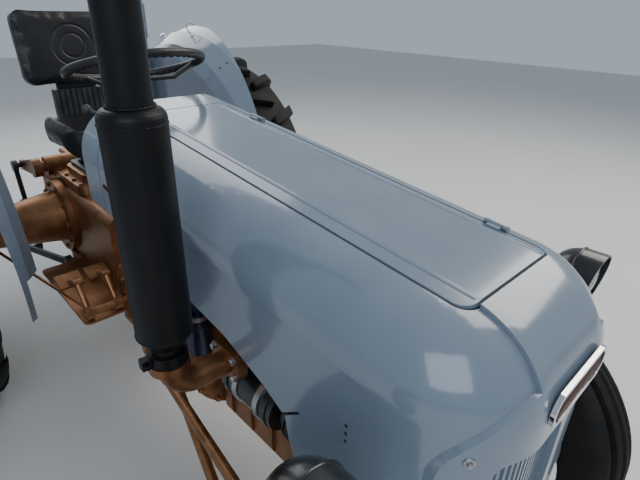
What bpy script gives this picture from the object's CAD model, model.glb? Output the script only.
# Looks of a small vintage farm tractor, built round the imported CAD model.
import math

import bpy
from mathutils import Matrix, Vector


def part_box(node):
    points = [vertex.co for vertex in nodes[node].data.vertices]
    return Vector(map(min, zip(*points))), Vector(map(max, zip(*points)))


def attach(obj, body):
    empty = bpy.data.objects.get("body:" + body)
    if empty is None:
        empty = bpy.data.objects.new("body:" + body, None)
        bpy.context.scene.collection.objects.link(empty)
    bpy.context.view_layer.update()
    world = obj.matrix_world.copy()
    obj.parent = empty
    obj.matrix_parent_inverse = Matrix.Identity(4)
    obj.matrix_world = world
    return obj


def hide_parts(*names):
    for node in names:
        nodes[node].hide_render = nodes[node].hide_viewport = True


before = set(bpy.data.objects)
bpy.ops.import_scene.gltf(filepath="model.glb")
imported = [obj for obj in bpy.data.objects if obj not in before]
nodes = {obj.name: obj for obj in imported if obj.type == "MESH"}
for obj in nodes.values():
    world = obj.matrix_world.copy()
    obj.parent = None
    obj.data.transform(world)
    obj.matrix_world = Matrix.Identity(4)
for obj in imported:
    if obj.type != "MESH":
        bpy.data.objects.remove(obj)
bpy.ops.object.select_all(action="DESELECT")
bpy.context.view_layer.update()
print("frame loaded:", len(nodes), "nodes")

# The CAD source measures x from the rear axle; here x = 0 is the middle of the length.
rearTyreLow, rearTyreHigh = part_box("rear_tyre_left")
axleX = (rearTyreLow.x + rearTyreHigh.x) / 2


def place(x, y, z):
    # millimetres from the rear axle, in metres of the shared frame
    return Vector((axleX + x / 1000, y / 1000, z / 1000))


# Camera: found by fitting the photograph's wheels, wheelbase and steering wheel
camera = {
    "position": place(2246.84, -705.24, 1526.38),
    "turn": (63.6935, -1.2427, 46.3943),
    "lens": 26.645,
    "sensor": 36,
    "seesTo": 60,
}


def makeCamera():
    data = bpy.data.cameras.new("photoCamera")
    data.lens = camera["lens"]
    data.sensor_width = camera["sensor"]
    data.clip_end = camera["seesTo"]
    viewer = bpy.data.objects.new("photoCamera", data)
    viewer.location = camera["position"]
    viewer.rotation_euler = [math.radians(a) for a in camera["turn"]]
    bpy.context.scene.collection.objects.link(viewer)
    bpy.context.scene.camera = viewer


makeCamera()
print("camera made")


# Colours are written as on screen and turned to linear here
def linear(code):
    values = [int(code[i:i + 2], 16) / 255 for i in (1, 3, 5)]
    return (*[v / 12.92 if v <= 0.04045 else ((v + 0.055) / 1.055) ** 2.4 for v in values], 1.0)


# Adds one node: settings fill its sockets or fields, links join its sockets to other nodes' outputs
def addNode(material, kind, settings=None, links=None):
    node = material.node_tree.nodes.new(kind)
    for name, value in (settings or {}).items():
        if name in node.inputs:
            node.inputs[name].default_value = value
        else:
            setattr(node, name, value)
    joinSockets(material, node, links)
    return node


def joinSockets(material, node, links):
    for name, (source, output) in (links or {}).items():
        material.node_tree.links.new(source.outputs[output], node.inputs[name])


def newMaterial(name, **sockets):
    material = bpy.data.materials.new(name)
    material.use_nodes = True
    shader = material.node_tree.nodes["Principled BSDF"]
    for socket, value in sockets.items():
        shader.inputs[socketNames[socket]].default_value = value
    coords = addNode(material, "ShaderNodeTexCoord")
    return material, shader, coords


socketNames = {
    "metallic": "Metallic",
    "roughness": "Roughness",
    "ior": "IOR",
    "coat": "Coat Weight",
    "coatRoughness": "Coat Roughness",
    "transmission": "Transmission Weight",
    "specular": "Specular IOR Level",
}


# Two colours mixed by a noise's value, each stop given as that value and a colour
def twoTone(material, noise, stops):
    tone = addNode(material, "ShaderNodeValToRGB", links={"Fac": (noise, "Fac")})
    for element, (position, colour) in zip(tone.color_ramp.elements, stops):
        element.position = position
        element.color = linear(colour)
    return tone


def joinFinish(material, shader, tone, gloss, relief):
    joinSockets(material, shader, {
        "Base Color": (tone, "Color"),
        "Roughness": (gloss, "Result"),
        "Normal": (relief, "Normal"),
    })


# A finish whose colour and roughness drift softly over the piece, over a fine bump;
# drift and grain are the sizes in metres of the patches and of the bump's grain
def coatedFinish(name, light, dark, drift, rough, grain, bump, **sockets):
    material, shader, coords = newMaterial(name, **sockets)
    patches = addNode(material, "ShaderNodeTexNoise",
                      {"Scale": 1 / drift, "Detail": 5.0, "Roughness": 0.6},
                      {"Vector": (coords, "Object")})
    tone = twoTone(material, patches, ((0.35, dark), (0.65, light)))
    gloss = addNode(material, "ShaderNodeMapRange",
                    {"From Min": 0.3, "From Max": 0.7, "To Min": rough[0], "To Max": rough[1]},
                    {"Value": (patches, "Fac")})
    fine = addNode(material, "ShaderNodeTexNoise", {"Scale": 1 / grain, "Detail": 3.0},
                   {"Vector": (coords, "Object")})
    relief = addNode(material, "ShaderNodeBump", {"Strength": bump[0], "Distance": bump[1]},
                     {"Height": (fine, "Fac")})
    joinFinish(material, shader, tone, gloss, relief)
    return material


# Alkyd gloss enamel, sprayed: smooth and wet-looking, with a faint orange peel
def makeGreyEnamel():
    return coatedFinish("greyAlkydEnamel", "#76838F", "#6E7B88", 0.35, (0.13, 0.2), 0.012, (0.05, 0.001),
                        ior=1.5, coat=0.6, coatRoughness=0.08)


# Metallic enamel over sand-cast iron: warm flakes, and the casting's grain under the paint
def makeBronzeEnamel(name="bronzeMetallicEnamel", light="#A87A56", dark="#835A3C"):
    return coatedFinish(name, light, dark, 0.06, (0.34, 0.5), 0.004, (0.35, 0.0012), metallic=0.8)


# Silicone heat-proof black on sheet steel: dull satin, greyed by heat in patches
def makeExhaustBlack():
    return coatedFinish("heatProofBlack", "#141416", "#0D0D0E", 0.09, (0.36, 0.5), 0.003, (0.2, 0.0006),
                        ior=1.3)


# Stoved black enamel on pressed steel: deep and fairly glossy
def makeBlackEnamel():
    return coatedFinish("stovedBlackEnamel", "#1B1C1D", "#101011", 0.12, (0.2, 0.34), 0.008, (0.06, 0.0006),
                        ior=1.5, coat=0.3, coatRoughness=0.15)


# Brushed-on chassis paint over forged and rolled steel: dark grey, uneven sheen
def makeChassisPaint():
    return coatedFinish("chassisPaint", "#3C3D3F", "#292A2B", 0.07, (0.36, 0.56), 0.004, (0.3, 0.0008),
                        ior=1.45)


# Blue-black metallic stove enamel on the filter's can
def makeFilterBlue():
    return coatedFinish("filterCanEnamel", "#2A2F47", "#1B1F33", 0.05, (0.22, 0.32), 0.005, (0.05, 0.0005),
                        metallic=0.5, coat=0.4, coatRoughness=0.1)


# Vulcanised natural rubber: dull, carbon black, with dry dust that has settled in the pores
def makeTyreRubber():
    material, shader, coords = newMaterial("vulcanisedTyreRubber", ior=1.33)
    dust = addNode(material, "ShaderNodeTexNoise", {"Scale": 14.0, "Detail": 8.0, "Roughness": 0.7},
                   {"Vector": (coords, "Object")})
    tone = twoTone(material, dust, ((0.42, "#131314"), (0.74, "#26241F")))
    pores = addNode(material, "ShaderNodeTexNoise", {"Scale": 260.0, "Detail": 4.0},
                    {"Vector": (coords, "Object")})
    relief = addNode(material, "ShaderNodeBump", {"Strength": 0.35, "Distance": 0.0008},
                     {"Height": (pores, "Fac")})
    gloss = addNode(material, "ShaderNodeMapRange", {"To Min": 0.55, "To Max": 0.82},
                    {"Value": (dust, "Fac")})
    joinFinish(material, shader, tone, gloss, relief)
    return material


# PVC seat covering with a pressed leather grain, 3 mm between creases (drawn at 5 mm to show)
def makeSeatVinyl():
    material, shader, coords = newMaterial("grainedSeatVinyl", ior=1.42)
    creases = addNode(material, "ShaderNodeTexVoronoi", {"feature": "DISTANCE_TO_EDGE", "Scale": 200.0},
                      {"Vector": (coords, "Object")})
    relief = addNode(material, "ShaderNodeBump", {"Strength": 0.3, "Distance": 0.0006},
                     {"Height": (creases, "Distance")})
    sheen = addNode(material, "ShaderNodeTexNoise", {"Scale": 9.0, "Detail": 4.0},
                    {"Vector": (coords, "Object")})
    tone = twoTone(material, sheen, ((0.3, "#141415"), (0.7, "#1F1F21")))
    gloss = addNode(material, "ShaderNodeMapRange", {"To Min": 0.32, "To Max": 0.5},
                    {"Value": (sheen, "Fac")})
    joinFinish(material, shader, tone, gloss, relief)
    return material


# Injection-moulded black ABS with a fine spark-eroded texture
def makeMouldedBlack():
    return coatedFinish("mouldedBlackPlastic", "#1A1A1B", "#121213", 0.05, (0.38, 0.5), 0.002, (0.2, 0.0003),
                        ior=1.53)


# EPDM hose: black, cloth-wrapped when cured, which leaves a weave 1.5 mm apart
def makeHoseRubber():
    return coatedFinish("curedHoseRubber", "#1D1D1E", "#141414", 0.03, (0.5, 0.66), 0.0015, (0.35, 0.0004),
                        ior=1.5)


# Chrome plate over polished nickel: mirror-bright
def makeChrome():
    return coatedFinish("brightChromePlate", "#E2E4E6", "#D6D9DC", 0.1, (0.05, 0.12), 0.02, (0.03, 0.0004),
                        metallic=1.0)


# Machined or zinc-plated steel: pale, with a fine lay along the turned surface
def makeBareSteel():
    return coatedFinish("turnedSteel", "#B9BABB", "#A2A3A5", 0.03, (0.28, 0.4), 0.0015, (0.25, 0.0002),
                        metallic=1.0)


# Enamel on the bare badge fields: dark red-brown, weathered to a dull sheen
def makeBadgeEnamel():
    return coatedFinish("darkRedVitreousEnamel", "#4A1F1A", "#33130F", 0.04, (0.5, 0.6), 0.01, (0.02, 0.0003),
                        ior=1.2)


# Pressed lamp glass
def makeLampGlass():
    return coatedFinish("pressedLampGlass", "#F2F5F4", "#EAEFEF", 0.05, (0.03, 0.06), 0.01, (0.02, 0.0003),
                        ior=1.5, transmission=0.85)


# Screen-printed white on the dials, matt
def makeDialWhite():
    return coatedFinish("printedDialWhite", "#E6E4DC", "#DAD7CE", 0.02, (0.5, 0.6), 0.004, (0.02, 0.0002),
                        ior=1.45)


greyEnamel = makeGreyEnamel()
bronzeEnamel = makeBronzeEnamel()
manifoldBronze = makeBronzeEnamel("manifoldBronzeEnamel", "#9A6C48", "#764F34")
exhaustBlack = makeExhaustBlack()
blackEnamel = makeBlackEnamel()
chassisPaint = makeChassisPaint()
filterBlue = makeFilterBlue()
tyreRubber = makeTyreRubber()
seatVinyl = makeSeatVinyl()
mouldedBlack = makeMouldedBlack()
hoseRubber = makeHoseRubber()
chrome = makeChrome()
bareSteel = makeBareSteel()
badgeEnamel = makeBadgeEnamel()
lampGlass = makeLampGlass()
dialWhite = makeDialWhite()

nodeFinishes = {
    greyEnamel: ["dash_cowl", "fenders", "side_valances", "roll_bar", "rear_rim_left", "rear_rim_right",
                 "front_rim_left", "front_rim_right", "hood_shell", "nose_mask", "hood_lid"],
    bronzeEnamel: ["gearbox_housing", "engine_block", "sump", "front_axle_support", "front_axle_beam",
                   "radius_rods", "rear_axle_housing", "brake_drums", "hydraulic_cover", "foot_steps",
                   "pedals", "knuckle_left", "knuckle_right", "drop_arm_left", "drop_arm_right",
                   "drag_link_left", "drag_link_right", "lift_arms"],
    manifoldBronze: ["exhaust_manifold"],
    exhaustBlack: ["exhaust_stack"],
    blackEnamel: ["fan", "dynamo", "starter_motor", "air_cleaner", "lamp_brackets", "headlamps", "radiator"],
    chassisPaint: ["fuel_tank", "seat_support", "drawbar", "lift_rods", "lower_links", "control_levers"],
    mouldedBlack: ["battery", "steering_wheel"],
    filterBlue: ["oil_filter"],
    bareSteel: ["pto_shaft", "steering_column"],
    chrome: ["nose_badge", "rear_lamp"],
    seatVinyl: ["seat_pan", "seat_back"],
    tyreRubber: ["rear_tyre_left", "rear_tyre_right", "front_tyre_left", "front_tyre_right"],
}


# Every slot of a node gets the finish of its real piece
def dressNodes():
    for finish, names in nodeFinishes.items():
        for name in names:
            for slot in nodes[name].material_slots:
                slot.material = finish


dressNodes()
print("finishes given to", sum(len(names) for names in nodeFinishes.values()), "nodes")


# Modelling steps that every new piece uses
def grab(piece):
    bpy.ops.object.select_all(action="DESELECT")
    piece.select_set(True)
    bpy.context.view_layer.objects.active = piece


def settle(piece, centre, direction):
    # turns the piece's own z axis to the direction, moves it to its place, and bakes both into the mesh
    grab(piece)
    piece.rotation_euler = Vector(direction).to_track_quat("Z", "Y").to_euler()
    piece.location = centre
    bpy.ops.object.transform_apply(location=True, rotation=True, scale=True)


def dress(piece, name, body, finish, angle=35):
    piece.name = name
    piece.data.name = name
    grab(piece)
    piece.data.materials.clear()
    piece.data.materials.append(finish)
    bpy.ops.object.shade_smooth_by_angle(angle=math.radians(angle))
    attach(piece, body)


def applyModifiers(piece):
    grab(piece)
    for modifier in list(piece.modifiers):
        bpy.ops.object.modifier_apply(modifier=modifier.name)


def joined(parts):
    if len(parts) == 1:
        grab(parts[0])
        return parts[0]
    bpy.ops.object.select_all(action="DESELECT")
    for part in parts:
        part.select_set(True)
    bpy.context.view_layer.objects.active = parts[0]
    bpy.ops.object.join()
    return bpy.context.object


# Turned piece: a disc is drawn out ring by ring, each ring given as radius and height in millimetres
def turned(rings, segments=32):
    radius, height = rings[0]
    bpy.ops.mesh.primitive_circle_add(vertices=segments, radius=radius / 1000, fill_type="NGON",
                                      location=(0, 0, height / 1000))
    piece = bpy.context.object
    bpy.ops.object.transform_apply(location=True)
    bpy.ops.object.mode_set(mode="EDIT")
    bpy.ops.mesh.select_all(action="SELECT")
    for nextRadius, nextHeight in rings[1:]:
        bpy.ops.mesh.extrude_region_move(
            TRANSFORM_OT_translate={"value": (0, 0, (nextHeight - height) / 1000)})
        scale = nextRadius / radius
        bpy.ops.transform.resize(value=(scale, scale, 1), center_override=(0, 0, 0))
        radius, height = nextRadius, nextHeight
    bpy.ops.mesh.select_all(action="SELECT")
    bpy.ops.mesh.normals_make_consistent(inside=False)
    bpy.ops.object.mode_set(mode="OBJECT")
    return piece


# Rings for a turned piece, each given as an offset from one radius and a height
def ringsAt(radius, offsets):
    return [(radius + out, height) for out, height in offsets]


rodResolution = 4


# Round bar bent along points, from a poly curve with a round bevel that is made a mesh
def bentRod(points, radius, rounds=0):
    curve = bpy.data.curves.new("bentRod", "CURVE")
    curve.dimensions = "3D"
    curve.bevel_depth = radius / 1000
    curve.bevel_resolution = rodResolution
    curve.use_fill_caps = True
    path = smoothed(points, rounds) if rounds else points
    line = curve.splines.new("POLY")
    line.points.add(len(path) - 1)
    for spot, point in zip(line.points, path):
        spot.co = (*point, 1)
    rod = bpy.data.objects.new("bentRod", curve)
    bpy.context.scene.collection.objects.link(rod)
    grab(rod)
    bpy.ops.object.convert(target="MESH")
    return bpy.context.object


def smoothed(points, rounds):
    # corner cutting, which keeps both ends where they are
    for _ in range(rounds):
        cut = [points[0]]
        for a, b in zip(points, points[1:]):
            cut += [a.lerp(b, 0.25), a.lerp(b, 0.75)]
        points = cut + [points[-1]]
    return points


def copied(pattern):
    copy = pattern.copy()
    copy.data = pattern.data.copy()
    bpy.context.scene.collection.objects.link(copy)
    return copy


# Copies of one fastener, each with its own mesh and turned its own way, joined to one piece
def copiesOf(pattern, spots):
    copies = []
    for x, y, z, *direction in spots:
        copy = copied(pattern)
        settle(copy, place(x, y, z), direction)
        copies.append(copy)
    bpy.data.objects.remove(pattern)
    return joined(copies)


# Hexagon bolt head on a washer: each ring is a share of the corner's radius, and a height in millimetres
# for the low rings and the washer, or as a share of the width across flats for the high rings
boltShape = {
    "low": [(0.94, 1.5), (1, 2.5)],
    "high": [(1, 0.55), (0.86, 0.66)],
    "washer": [(1.25, 0), (1.25, 2), (1.15, 2.6)],
}


def boltHead(across):
    corner = across / math.sqrt(3)
    rings = [(share * corner, height) for share, height in boltShape["low"]]
    rings += [(share * corner, height * across) for share, height in boltShape["high"]]
    washer = [(share * corner, height) for share, height in boltShape["washer"]]
    return joined([turned(rings, 6), turned(washer, 20)])


bolts = {
    # name: body, width across flats, finish, spots with the way each points
    "headNuts": ("chassis", 17, bareSteel, [
        (x, side * 82, 907, 0, 0, 1) for side in (-1, 1) for x in (1262, 1333, 1401, 1469, 1537)]),
    "clutchFlangeBolts": ("chassis", 14, bronzeEnamel, [
        (1208, 212 * math.cos(math.radians(a)), 545 + 212 * math.sin(math.radians(a)), 1, 0, 0)
        for a in (-50, -25, 0, 25, 50, 130, 155, 180, 205, 230)]),
    "gearboxBolts": ("chassis", 17, bronzeEnamel, [
        (578, side * 146, z, 1, 0, 0) for side in (-1, 1) for z in (370, 430, 490, 550, 610)]),
    "coverBolts": ("chassis", 14, bronzeEnamel, [
        (x, side * 130, 840, 0, 0, 1) for side in (-1, 1) for x in (-170, -30, 60, 150, 235)]),
    "trumpetBolts": ("chassis", 17, bronzeEnamel, [
        (143 * math.cos(math.radians(a)), side * 184, 645 + 143 * math.sin(math.radians(a)), 0, side, 0)
        for side in (-1, 1) for a in range(0, 360, 36)]),
    "supportBolts": ("chassis", 19, bronzeEnamel, [
        (x, side * 150, z, 0, side, 0) for side in (-1, 1) for x in (1662, 1700) for z in (490, 560)]),
    "outletNuts": ("chassis", 14, bareSteel, [
        (1490 + dx, -265, 790 + dz, 0, -1, 0) for dx in (-38, 38) for dz in (-24, 24)]),
    "portNuts": ("chassis", 14, bareSteel, [
        (x + dx, -109.4, 872, 0, -1, 0) for x in (1290, 1437, 1584) for dx in (-34, 34)]),
    "timingBolts": ("chassis", 12, bronzeEnamel, [
        (1662, dy, 590 + dz, 1, 0, 0) for dy in (-97, 97) for dz in (-80, -30, 30, 80)]),
    "boxBolts": ("chassis", 14, bronzeEnamel, [
        (885 + dx, dy, 770, 0, 0, 1) for dx in (-85, 60) for dy in (-78, 78)]),
}


def makeBolts():
    for name, (body, across, finish, spots) in bolts.items():
        dress(copiesOf(boltHead(across), spots), name, body, finish)
        print("made", name)


makeBolts()


# Core plugs pressed into the water jacket: shallow cups between the block's ribs
corePlugs = {"rings": [(22, -1), (22, 3), (19, 3.5), (17, 1.2), (1, 0.8)],
             "spots": [(x, side * 118, 745, 0, side, 0) for side in (-1, 1) for x in (1310, 1430, 1550)]}
dress(copiesOf(turned(corePlugs["rings"]), corePlugs["spots"]), "corePlugs", "chassis", bareSteel)


# V-belt over the crank, fan and dynamo pulleys, and the pulleys' flanges
belt = {
    "x": 1682, "width": 15, "thick": 9,
    "pulleys": [(0, 545, 62), (0, 760, 55), (-195, 700, 40)],
    "edge": 1, "steps": 180, "clear": 0.4,
    "flange": [(-2, -3), (9, 1.2), (9, 3)], "hubShare": 0.6, "hubHeight": 5, "flangeAside": 12,
}


def beltPath(pulleys, extra):
    # outline of the pulleys' convex hull, walked by angle: the point that lies furthest out
    path = []
    for step in range(belt["steps"]):
        a = math.radians(step * 360 / belt["steps"])
        way = (math.cos(a), math.sin(a))
        y, z, r = max(pulleys, key=lambda p: p[0] * way[0] + p[1] * way[1] + p[2])
        path.append((y + (r + extra) * way[0], z + (r + extra) * way[1]))
    return path


def makeBelt():
    path = beltPath(belt["pulleys"], belt["clear"])
    bpy.ops.mesh.primitive_circle_add(vertices=len(path), radius=0.1, fill_type="NOTHING")
    strap = bpy.context.object
    for vertex, (y, z) in zip(strap.data.vertices, path):
        vertex.co = place(belt["x"] - belt["width"] / 2, y, z)
    bpy.ops.object.mode_set(mode="EDIT")
    bpy.ops.mesh.select_all(action="SELECT")
    bpy.ops.mesh.extrude_region_move(TRANSFORM_OT_translate={"value": (belt["width"] / 1000, 0, 0)})
    bpy.ops.mesh.select_all(action="SELECT")
    bpy.ops.mesh.normals_make_consistent(inside=False)
    bpy.ops.object.mode_set(mode="OBJECT")
    wall = strap.modifiers.new("wall", "SOLIDIFY")
    wall.thickness = belt["thick"] / 1000
    wall.offset = 1
    edge = strap.modifiers.new("edge", "BEVEL")
    edge.width = belt["edge"] / 1000
    edge.segments = 2
    applyModifiers(strap)
    dress(strap, "fanBelt", "chassis", hoseRubber)
    flanges = []
    for y, z, r in belt["pulleys"]:
        rings = ringsAt(r, belt["flange"]) + [(r * belt["hubShare"], belt["hubHeight"])]
        for way in (-1, 1):
            flange = turned(rings, 48)
            settle(flange, place(belt["x"] + way * belt["flangeAside"], y, z), (way, 0, 0))
            flanges.append(flange)
    dress(joined(flanges), "pulleyFlanges", "chassis", blackEnamel)


makeBelt()
print("made belt")


# Worm-drive clamps: a thin band with its screw housing
band = {"thick": 1.6, "edge": 0.4, "screw": [(3.2, -9), (4.5, -8), (4.5, 8), (3.2, 9)], "screwOut": 5}


def clamp(radius, width, centre, direction):
    out = radius + band["thick"]
    flat = width / 2 - band["edge"]
    strip = turned([(radius, -width / 2), (out, -flat), (out, flat), (radius, width / 2)], 40)
    screw = turned(band["screw"], 12)
    settle(screw, Vector((0, (radius + band["screwOut"]) / 1000, 0)), (1, 0, 0))
    ring = joined([strip, screw])
    settle(ring, centre, direction)
    return ring


clamps = [
    # radius, width, place, way
    (24, 12, (1640, 0, 880), (1, 0, 0)), (24, 12, (1786, 0, 975), (1, 0, 0)),
    (24, 12, (1664, 0, 900), (0, 0, 1)), (19, 11, (1664, -124, 628), (0, 1, 0)),
    (19, 11, (1786, -178, 628), (1, 0, 0)), (58, 16, (1500, -195, 700), (1, 0, 0)),
    (58, 16, (1580, -195, 700), (1, 0, 0)), (60, 18, (1260, 194, 760), (0, 0, 1)),
    (60, 18, (1260, 194, 860), (0, 0, 1)), (44, 14, (1258, -205, 780), (0, 0, 1)),
    (55, 16, (1300, 186, 545), (1, 0, 0)), (55, 16, (1400, 186, 545), (1, 0, 0)),
]
dress(joined([clamp(r, w, place(*spot), way) for r, w, spot, way in clamps]),
      "clampBands", "chassis", bareSteel)
print("made clamps")


# Silencer: ragged weld beads round its outlet, below its cap and at its foot, and the barrel's lock seam
silencer = {"x": 1490, "y": -393, "radius": 55, "low": 941, "capWeld": 1352,
            # beads, each as the radius round which it runs, its height and its own radius
            "beads": [(37, 1379, 2.6), (54.4, 1352, 1.6), (54.4, 944, 1.8)],
            "beadSegments": 160, "beadSides": 8, "seam": 2.5, "seamProud": 0.8,
            # waves round a bead, each as count, height and phase, and how many metres a height of 1 is
            "upWaves": [(23, 1, 0), (37, 0.8, 1), (61, 0.6, 2)], "upSize": 0.0006,
            "outWaves": [(47, 1, 0), (31, 0.7, 0)], "outSize": 0.0004}


def ragged(waves, a):
    return sum(height * math.sin(count * a + phase) for count, height, phase in waves)


def weldBead(radius, z, size):
    bpy.ops.mesh.primitive_torus_add(major_radius=radius / 1000, minor_radius=size / 1000,
                                     major_segments=silencer["beadSegments"],
                                     minor_segments=silencer["beadSides"])
    bead = bpy.context.object
    for vertex in bead.data.vertices:
        a = math.atan2(vertex.co.y, vertex.co.x)
        vertex.co.z += ragged(silencer["upWaves"], a) * silencer["upSize"]
        away = 1 + ragged(silencer["outWaves"], a) * silencer["outSize"] / (radius / 1000)
        vertex.co.x *= away
        vertex.co.y *= away
    settle(bead, place(silencer["x"], silencer["y"], z), (0, 0, 1))
    return bead


def makeSilencerSeams():
    out = silencer["radius"] + silencer["seamProud"]
    parts = [weldBead(*bead) for bead in silencer["beads"]]
    parts.append(bentRod([place(silencer["x"] - out, silencer["y"], z)
                          for z in (silencer["low"], silencer["capWeld"])], silencer["seam"]))
    dress(joined(parts), "silencerSeams", "chassis", exhaustBlack, angle=60)


makeSilencerSeams()


# Headlamp: rolled seam behind the hood, then a chrome ring and domed fluted glass inside it
lamps = {"x": 1968, "y": 443, "z": 955, "radius": 66, "glassAt": 20, "glassRadius": 58, "flutes": 14,
         "glassOut": 5, "seamBehind": 4, "segments": 72, "cuts": 11,
         "dome": 0.014, "fluteDepth": 0.0007, "fadeHeight": 0.003, "glassThick": 0.003,
         "ringOuter": [(-2.5, 0), (-2.4, 4), (-4, 8)], "ringInner": [(1, 9), (-1, 7), (-2, 2)],
         "seam": [(1, -4), (3.6, -2.5), (4, 0), (3.6, 2.5), (1, 4)]}


def makeLampPane(side):
    rim = lamps["glassRadius"] / 1000
    bpy.ops.mesh.primitive_circle_add(vertices=lamps["segments"], radius=rim, fill_type="TRIFAN")
    glass = bpy.context.object
    bpy.ops.object.mode_set(mode="EDIT")
    bpy.ops.mesh.select_all(action="SELECT")
    bpy.ops.mesh.subdivide(number_cuts=lamps["cuts"])
    bpy.ops.object.mode_set(mode="OBJECT")
    for vertex in glass.data.vertices:
        x, y = vertex.co.xy
        dome = lamps["dome"] * (1 - (x * x + y * y) / rim ** 2)
        flute = lamps["fluteDepth"] * math.cos(lamps["flutes"] * math.pi * y / rim)
        vertex.co.z = dome + flute * min(1, dome / lamps["fadeHeight"])
    wall = glass.modifiers.new("wall", "SOLIDIFY")
    wall.thickness = lamps["glassThick"]
    applyModifiers(glass)
    settle(glass, place(lamps["x"] + lamps["glassAt"] + lamps["glassOut"], side * lamps["y"], lamps["z"]),
           (1, 0, 0))
    return glass


def makeLamps():
    rings, glasses, seams = [], [], []
    ringShape = ringsAt(lamps["radius"], lamps["ringOuter"])
    ringShape += ringsAt(lamps["glassRadius"], lamps["ringInner"])
    for side in (-1, 1):
        ring = turned(ringShape, lamps["segments"])
        settle(ring, place(lamps["x"] + lamps["glassAt"], side * lamps["y"], lamps["z"]), (1, 0, 0))
        rings.append(ring)
        seam = turned(ringsAt(lamps["radius"], lamps["seam"]), lamps["segments"])
        settle(seam, place(lamps["x"] - lamps["seamBehind"], side * lamps["y"], lamps["z"]), (1, 0, 0))
        seams.append(seam)
        glasses.append(makeLampPane(side))
    dress(joined(rings), "lampRings", "chassis", chrome)
    dress(joined(seams), "lampSeams", "chassis", blackEnamel, angle=60)
    dress(joined(glasses), "lampGlasses", "chassis", lampGlass, angle=60)


makeLamps()
print("made lamps")


# Finger grips moulded along the underside of the steering wheel's rim: one wave copied round
steering = {"x": 631, "z": 1335, "lean": 15.7, "radius": 215, "waves": 54,
            "half": (0.0105, 0.009, 0.0088), "inward": 2, "below": 6.5,
            "waveSegments": 16, "waveRings": 10}


def makeGrips():
    bpy.ops.mesh.primitive_uv_sphere_add(segments=steering["waveSegments"], ring_count=steering["waveRings"],
                                         radius=1)
    wave = bpy.context.object
    wave.scale = steering["half"]
    settle(wave, (0, 0, 0), (0, 0, 1))
    upright = Matrix.Rotation(math.radians(-steering["lean"]), 4, "Y")
    centre = Matrix.Translation(place(steering["x"], 0, steering["z"]))
    waves = []
    reach = (steering["radius"] - steering["inward"]) / 1000
    under = Matrix.Translation((reach, 0, -steering["below"] / 1000))
    for number in range(steering["waves"]):
        copy = copied(wave)
        turn = Matrix.Rotation(2 * math.pi * number / steering["waves"], 4, "Z")
        copy.matrix_world = centre @ upright @ turn @ under
        grab(copy)
        bpy.ops.object.transform_apply(location=True, rotation=True, scale=True)
        waves.append(copy)
    bpy.data.objects.remove(wave)
    dress(joined(waves), "steeringGrips", "steering_hand_wheel", mouldedBlack, angle=60)


makeGrips()
print("made grips")


# Seat: foam in a moulded skin, so each cushion swells a little from its frame
cushions = {
    "seatCushion": {"node": "seat_pan", "shrink": 5, "swell": 9, "fill": 0.8},
    "backCushion": {"node": "seat_back", "shrink": 6, "swell": 11, "fill": 0.8},
}
cushionMesh = {"merge": 0.0002, "voxel": 0.007, "softenings": 6, "pressure": 4, "frames": 20,
               "quickSwell": 0.004}
backRing = {"radius": 0.078, "inner": 0.045, "width": 0.006, "depth": 0.0035, "above": 0.01,
            "facing": 0.7}


def makeCushion(name, values):
    source = nodes[values["node"]]
    cushion = source.copy()
    cushion.data = source.data.copy()
    cushion.parent = None
    for key in list(cushion.keys()):
        del cushion[key]
    bpy.context.scene.collection.objects.link(cushion)
    grab(cushion)
    bpy.ops.object.mode_set(mode="EDIT")
    bpy.ops.mesh.select_all(action="SELECT")
    bpy.ops.mesh.remove_doubles(threshold=cushionMesh["merge"])
    bpy.ops.object.mode_set(mode="OBJECT")
    remesh = cushion.modifiers.new("even", "REMESH")
    remesh.mode = "VOXEL"
    remesh.voxel_size = cushionMesh["voxel"]
    pull = cushion.modifiers.new("pull", "DISPLACE")
    pull.strength = -values["shrink"] / 1000
    pull.mid_level = 0
    soften = cushion.modifiers.new("soften", "SMOOTH")
    soften.iterations = cushionMesh["softenings"]
    applyModifiers(cushion)
    start = [v.co.copy() for v in cushion.data.vertices]
    inflate(cushion, start, values["swell"] / 1000)
    bpy.ops.object.modifier_add(type="SUBSURF")
    cushion.modifiers[-1].levels = 1
    cushion.modifiers[-1].render_levels = 1
    applyModifiers(cushion)
    return cushion


def inflate(cushion, start, limit):
    cloth = cushion.modifiers.new("air", "CLOTH")
    cloth.settings.use_pressure = True
    cloth.settings.uniform_pressure_force = cushionMesh["pressure"]
    cloth.settings.effector_weights.gravity = 0
    for number in range(1, cushionMesh["frames"] + 1):
        bpy.context.scene.frame_set(number)
    applyModifiers(cushion)
    bpy.context.scene.frame_set(1)
    for vertex, rest in zip(cushion.data.vertices, start):
        move = vertex.co - rest
        if move.length > limit:
            vertex.co = rest + move * (limit / move.length)


def pressRings(cushion):
    # two plain round grooves pressed into the middle of the back's front face
    low = [min(v.co[i] for v in cushion.data.vertices) for i in range(3)]
    high = [max(v.co[i] for v in cushion.data.vertices) for i in range(3)]
    centreZ = (low[2] + high[2]) / 2 + backRing["above"]
    for vertex in cushion.data.vertices:
        if vertex.normal.x < backRing["facing"]:
            continue
        away = math.hypot(vertex.co.y, vertex.co.z - centreZ)
        for radius in (backRing["radius"], backRing["inner"]):
            near = abs(away - radius) / backRing["width"]
            if near < 1:
                vertex.co.x -= backRing["depth"] * (0.5 + 0.5 * math.cos(math.pi * near))


def makeSeat():
    for name, values in cushions.items():
        cushion = makeCushion(name, values)
        if name == "backCushion":
            pressRings(cushion)
        dress(cushion, name, "chassis", seatVinyl, angle=80)
        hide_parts(values["node"])
        print("made", name)


makeSeat()


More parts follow.
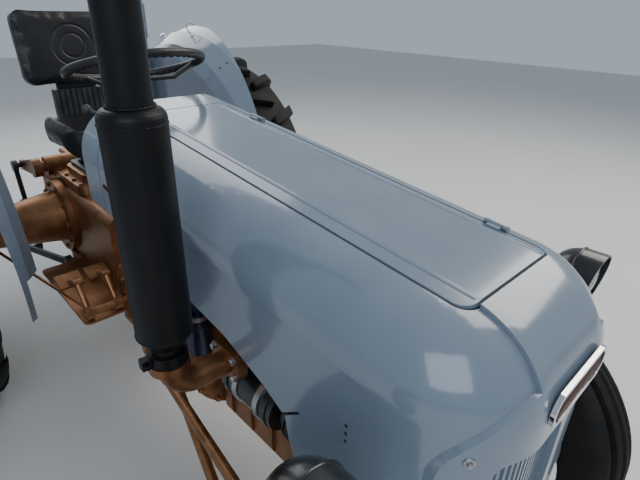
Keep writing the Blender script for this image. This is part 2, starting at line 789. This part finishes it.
# Instruments on the cowl's rear panel: chrome bezels round dark dials with plain tick marks
gauges = {
    "x": 789.6, "spots": [(-70, 1120, 42), (62, 1132, 34), (62, 1048, 30)],
    "ticks": 11, "start": -35, "sweep": 250, "needle": 200,
    "bezel": [(0, 0), (4, 2), (4, 8), (1, 11), (-3, 9), (-4, 4)],
    "dial": [(-5, 3), (-4, 5), (-6, 5.6)], "dialHub": [(3, 5.8), (2.5, 8), (0.5, 8.4)],
    "tick": [(0.9, -4), (1.1, -3.6), (1.1, 3.6), (0.9, 4)], "tickIn": 11, "tickProud": 6,
    # the needle's heights are shares of the dial's radius
    "needleShape": [(1.4, 0), (1.4, 0.3), (0.4, 0.62)], "needleProud": 7,
}


def makeGauges():
    bezels, dials, marks = [], [], []
    for y, z, r in gauges["spots"]:
        bezel = turned(ringsAt(r, gauges["bezel"]), 48)
        settle(bezel, place(gauges["x"], y, z), (-1, 0, 0))
        bezels.append(bezel)
        dial = turned(ringsAt(r, gauges["dial"]) + gauges["dialHub"], 40)
        settle(dial, place(gauges["x"], y, z), (-1, 0, 0))
        dials.append(dial)
        for number in range(gauges["ticks"]):
            a = math.radians(gauges["start"] + gauges["sweep"] * number / (gauges["ticks"] - 1))
            tick = turned(gauges["tick"], 6)
            away = (r - gauges["tickIn"]) / 1000
            way = Vector((0, math.cos(a), math.sin(a)))
            settle(tick, place(gauges["x"] - gauges["tickProud"], y, z) + way * away, way)
            marks.append(tick)
        a = math.radians(gauges["needle"])
        needle = turned([(wide, r * share) for wide, share in gauges["needleShape"]], 6)
        settle(needle, place(gauges["x"] - gauges["needleProud"], y, z), (0, math.cos(a), math.sin(a)))
        marks.append(needle)
    dress(joined(bezels), "gaugeBezels", "chassis", chrome)
    dress(joined(dials), "gaugeDials", "chassis", mouldedBlack)
    dress(joined(marks), "gaugeMarks", "chassis", dialWhite)


makeGauges()


# A place on a node's surface, found by looking along a line that starts this far up or out
rayFrom = {"up": 1600, "out": 400}


def onSurface(nodeName, start, direction):
    hit, spot, normal = nodes[nodeName].ray_cast(start, Vector(direction).normalized())[:3]
    assert hit, nodeName
    return spot, normal


# Wire hook bent from 5 mm rod through a washer on the left fender, and two screws ahead of it
fender = {
    "hookAt": (82, 530),
    "hookRadius": 2.6,
    "bends": [(0, 0, -4), (0, -2, 6), (0, -20, 26), (0, -25, 38), (0, -22, 52), (0, -10, 61), (0, 4, 58),
              (0, 9, 48)],
    "washer": [(11, 0), (11, 1.5), (8, 3), (4, 3.4), (1, 3.5)],
    "screwsAt": [(367, 528), (357, 496)],
    "screw": [(4.5, 0), (4.5, 1.5), (3, 2.6), (1, 3)],
}


def makeHook():
    foot, normal = onSurface("fenders", place(*fender["hookAt"], rayFrom["up"]), (0, 0, -1))
    rod = bentRod([foot + Vector(b) / 1000 for b in fender["bends"]], fender["hookRadius"], rounds=3)
    washer = turned(fender["washer"], 24)
    settle(washer, foot, normal)
    dress(joined([rod, washer]), "fenderHook", "chassis", bareSteel)
    screws = []
    for x, y in fender["screwsAt"]:
        spot, normal = onSurface("fenders", place(x, y, rayFrom["up"]), (0, 0, -1))
        screw = turned(fender["screw"], 16)
        settle(screw, spot, normal)
        screws.append(screw)
    dress(joined(screws), "fenderScrews", "chassis", chassisPaint)


# Three small punched holes in each side of the bonnet behind the nose, drawn as dark shallow plugs
punched = {"rings": [(3.6, -1), (3.6, 0.2), (2.6, 0.4), (0.5, 0.3)],
           "spots": [(1871, side * 268, z, 0, side, 0) for side in (-1, 1) for z in (896, 878, 860)]}
# Quarter-turn catch in the mask's face
catch = {"rings": [(10, -1), (10, 1.5), (8.5, 2.6), (5, 3), (5, 5.5), (4, 7), (1, 7.4)],
         "from": (2138, -291, 947), "way": (-0.72, 0.69, 0)}


def makeBonnetFittings():
    dress(copiesOf(turned(punched["rings"], 16), punched["spots"]), "bonnetHoles", "bonnet", mouldedBlack)
    fastener = turned(catch["rings"], 32)
    spot, normal = onSurface("nose_mask", place(*catch["from"]), catch["way"])
    settle(fastener, spot, normal)
    dress(fastener, "maskCatch", "bonnet", bareSteel)


# Pressed beads along the lid's raised middle, drawn as thin bars sunk in the sheet
lidBead = {"aside": 112, "rear": 942, "front": 1978, "steps": 44, "radius": 5, "sunk": 3.2}


def makeLidBeads():
    beads = []
    for side in (-1, 1):
        run = [lidBead["rear"] + (lidBead["front"] - lidBead["rear"]) * k / lidBead["steps"]
               for k in range(lidBead["steps"] + 1)]
        points = [onSurface("hood_lid", place(x, side * lidBead["aside"], rayFrom["up"]), (0, 0, -1))[0]
                  - Vector((0, 0, lidBead["sunk"] / 1000)) for x in run]
        beads.append(bentRod(points, lidBead["radius"]))
    dress(joined(beads), "lidBeads", "bonnet_lid", greyEnamel, angle=60)


makeLidBeads()


# Rounded plate for the bare badge places, its field raised a little inside a narrow border
def badgePlate(length, height, corner, thick):
    bpy.ops.mesh.primitive_plane_add(size=1)
    plate = bpy.context.object
    plate.scale = (length / 1000, height / 1000, 1)
    bpy.ops.object.transform_apply(scale=True)
    bpy.ops.object.mode_set(mode="EDIT")
    bpy.ops.mesh.select_all(action="SELECT")
    bpy.ops.mesh.bevel(offset=corner / 1000, segments=badges["cornerSegments"], affect="VERTICES")
    bpy.ops.mesh.select_all(action="SELECT")
    bpy.ops.mesh.extrude_region_move(TRANSFORM_OT_translate={"value": (0, 0, thick / 1000)})
    bpy.ops.mesh.inset(thickness=badges["rim"])
    bpy.ops.transform.translate(value=(0, 0, badges["rimRise"]))
    bpy.ops.mesh.select_all(action="SELECT")
    bpy.ops.mesh.normals_make_consistent(inside=False)
    bpy.ops.object.mode_set(mode="OBJECT")
    return plate


# Nose badge: bare enamel field in its chrome frame. Side strips: the same, narrower, on the bonnet's sides
badges = {
    "field": (192, 43, 20, 0.8), "recess": 2.9,
    "strip": (150, 19, 9, 2.2), "stripField": (141, 11, 5, 0.7),
    "stripFrom": (916, 1064), "stripTo": (1064, 1036), "stripSunk": -0.4, "stripFieldOut": 1.9,
    "rim": 0.0022, "rimRise": 0.0006, "cornerSegments": 8,
}


def makeNoseField():
    low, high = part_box("nose_badge")
    field = badgePlate(*badges["field"])
    # the plate's length goes to the frame's y, its height to z and its face to x
    standing = Matrix(((0, 0, 1), (1, 0, 0), (0, 1, 0))).to_4x4()
    centre = Matrix.Translation((high.x - badges["recess"] / 1000, 0, (low.z + high.z) / 2))
    field.matrix_world = centre @ standing
    grab(field)
    bpy.ops.object.transform_apply(location=True, rotation=True, scale=True)
    dress(field, "noseBadgeField", "bonnet", badgeEnamel)


def makeSideStrips():
    frames, fields = [], []
    for side in (-1, 1):
        ends = [onSurface("hood_shell", place(x, side * rayFrom["out"], z), (0, -side, 0))[0]
                for x, z in (badges["stripFrom"], badges["stripTo"])]
        along = (ends[1] - ends[0]).normalized()
        out = Vector((0, side, 0))
        out = (out - along * out.dot(along)).normalized()
        up = out.cross(along)
        middle = (ends[0] + ends[1]) / 2
        for size, lift, group in ((badges["strip"], badges["stripSunk"], frames),
                                  (badges["stripField"], badges["stripFieldOut"], fields)):
            plate = badgePlate(*size)
            plate.matrix_world = (Matrix.Translation(middle + out * lift / 1000)
                                  @ Matrix((along, up, out)).transposed().to_4x4())
            grab(plate)
            bpy.ops.object.transform_apply(location=True, rotation=True, scale=True)
            group.append(plate)
    dress(joined(frames), "sideStrips", "bonnet", chrome)
    dress(joined(fields), "sideStripFields", "bonnet", badgeEnamel)


makeHook()
makeBonnetFittings()
makeNoseField()
makeSideStrips()
print("made fittings")


# Tyres: section spun round the axle, given as radius and half width in millimetres from the bead out;
# steered is the wheels' turn about the upright at rest, in degrees
tyres = {
    "rear": {
        "section": [(356.6, 110), (374, 111), (392, 124), (430, 133), (480, 137), (530, 135), (566, 126),
                    (590, 108), (602, 84), (608, 50), (611, 0)],
        "steps": 108,
        "steered": 0,
        "nodes": {"rear_tyre_left": "rear_wheel_left", "rear_tyre_right": "rear_wheel_right"},
    },
    "front": {
        "section": [(203.8, 56), (219, 57), (232, 68), (258, 75), (292, 77), (318, 74), (336, 64), (347, 52),
                    (350, 42), (349, 38), (341, 34), (341, 29), (357, 25), (359.5, 21), (359.5, 9), (355, 6),
                    (355, 0)],
        "steps": 96,
        "steered": -17,
        "nodes": {"front_tyre_left": "front_wheel_left", "front_tyre_right": "front_wheel_right"},
    },
}
carcassMerge = 0.00002
# Lug stations from the middle of the tread outwards: across, top, root, along the rim, half width
lug = {
    "count": 18,
    "stations": [(-24, 640, 598, -20, 16), (-8, 644.4, 598, -13, 21), (30, 644.4, 598, 0, 22),
                 (70, 641, 595, 16, 23), (100, 632, 588, 30, 24), (122, 612, 572, 42, 24),
                 (133, 588, 556, 50, 22), (138.5, 566, 546, 55, 15)],
    "flare": 4, "round": 0.007, "roundSegments": 3, "sharpAngle": 40,
}


def makeCarcass(values):
    half = values["section"]
    outline = half + [(r, -w) for r, w in reversed(half[:-1])]
    bpy.ops.mesh.primitive_circle_add(vertices=len(outline), radius=0.1, fill_type="NOTHING")
    carcass = bpy.context.object
    for vertex, (radius, across) in zip(carcass.data.vertices, outline):
        vertex.co = (radius / 1000, 0, across / 1000)
    bpy.ops.object.mode_set(mode="EDIT")
    bpy.ops.mesh.select_all(action="SELECT")
    bpy.ops.mesh.spin(steps=values["steps"], angle=2 * math.pi, center=(0, 0, 0), axis=(0, 0, 1))
    bpy.ops.mesh.select_all(action="SELECT")
    bpy.ops.mesh.remove_doubles(threshold=carcassMerge)
    bpy.ops.mesh.normals_make_consistent(inside=False)
    bpy.ops.object.mode_set(mode="OBJECT")
    return carcass


# One lug is drawn out station by station from a four-cornered face, and its edges are rounded
def makeLug(side):
    bar = turned([(10, number) for number in range(len(lug["stations"]))], 4)
    for number, (across, top, root, along, half) in enumerate(lug["stations"]):
        foot = half + lug["flare"]
        corners = [(top, along - half), (top, along + half), (root, along + foot), (root, along - foot)]
        for vertex, (radius, run) in zip(bar.data.vertices[number * 4:number * 4 + 4], corners):
            vertex.co = (radius / 1000, -run / 1000, side * across / 1000)
    grab(bar)
    bpy.ops.object.mode_set(mode="EDIT")
    bpy.ops.mesh.select_all(action="SELECT")
    bpy.ops.mesh.normals_make_consistent(inside=False)
    bpy.ops.object.mode_set(mode="OBJECT")
    edge = bar.modifiers.new("edge", "BEVEL")
    edge.width = lug["round"]
    edge.segments = lug["roundSegments"]
    edge.limit_method = "ANGLE"
    edge.angle_limit = math.radians(lug["sharpAngle"])
    applyModifiers(bar)
    return bar


def lugRing():
    lugs = []
    for side in (-1, 1):
        pattern = makeLug(side)
        for number in range(lug["count"]):
            copy = copied(pattern)
            copy.rotation_euler = (0, 0, 2 * math.pi * (number + (0.5 if side < 0 else 0)) / lug["count"])
            grab(copy)
            bpy.ops.object.transform_apply(location=True, rotation=True, scale=True)
            lugs.append(copy)
        bpy.data.objects.remove(pattern)
    return lugs


def makeTyres():
    for kind, values in tyres.items():
        turn = math.radians(values["steered"])
        way = Vector((-math.sin(turn), math.cos(turn), 0))
        for nodeName, body in values["nodes"].items():
            low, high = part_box(nodeName)
            tyre = joined([makeCarcass(values)] + (lugRing() if kind == "rear" else []))
            settle(tyre, (low + high) / 2, way)
            dress(tyre, "tyre_" + nodeName.replace("_tyre", ""), body, tyreRubber, angle=40)
            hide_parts(nodeName)
        print("made", kind, "tyres")


makeTyres()


# Floor, sky and lamps, which all look at one point
studio = {
    "floor": 30, "floorNoise": 1.2, "floorTones": ((0, "#C9C9C6"), (1, "#D2D2D0")),
    "sky": "#CFDDEC", "skyStrength": 0.6, "aim": Vector((0, 0, 0.8)),
    "lamps": [
        # name, place, size of the panel, watts, tint
        ("keyPanel", (1.5, 4.0, 5.0), 4.0, 260, "#FFF8EE"),
        ("fillPanel", (4.0, -3.5, 4.0), 4.0, 150, "#EAF2FF"),
        ("backPanel", (-4.5, 1.0, 4.0), 4.0, 110, "#FFFFFF"),
    ],
}


def makeStudio():
    bpy.ops.mesh.primitive_plane_add(size=studio["floor"], location=(0, 0, 0))
    floor = bpy.context.object
    floor.name = "studioFloor"
    paint, shader, coords = newMaterial("paleFloorPaint", roughness=0.6, specular=0.3)
    cloud = addNode(paint, "ShaderNodeTexNoise", {"Scale": studio["floorNoise"], "Detail": 3.0},
                    {"Vector": (coords, "Object")})
    tone = twoTone(paint, cloud, studio["floorTones"])
    joinSockets(paint, shader, {"Base Color": (tone, "Color")})
    floor.data.materials.append(paint)
    world = bpy.data.worlds.new("studioSky")
    world.use_nodes = True
    sky = world.node_tree.nodes["Background"]
    sky.inputs["Color"].default_value = linear(studio["sky"])
    sky.inputs["Strength"].default_value = studio["skyStrength"]
    bpy.context.scene.world = world
    for name, spot, size, power, tint in studio["lamps"]:
        data = bpy.data.lights.new(name, "AREA")
        data.size = size
        data.energy = power
        data.color = linear(tint)[:3]
        lamp = bpy.data.objects.new(name, data)
        lamp.location = spot
        lamp.rotation_euler = (studio["aim"] - Vector(spot)).to_track_quat("-Z", "Y").to_euler()
        bpy.context.scene.collection.objects.link(lamp)


makeStudio()
print("studio made")
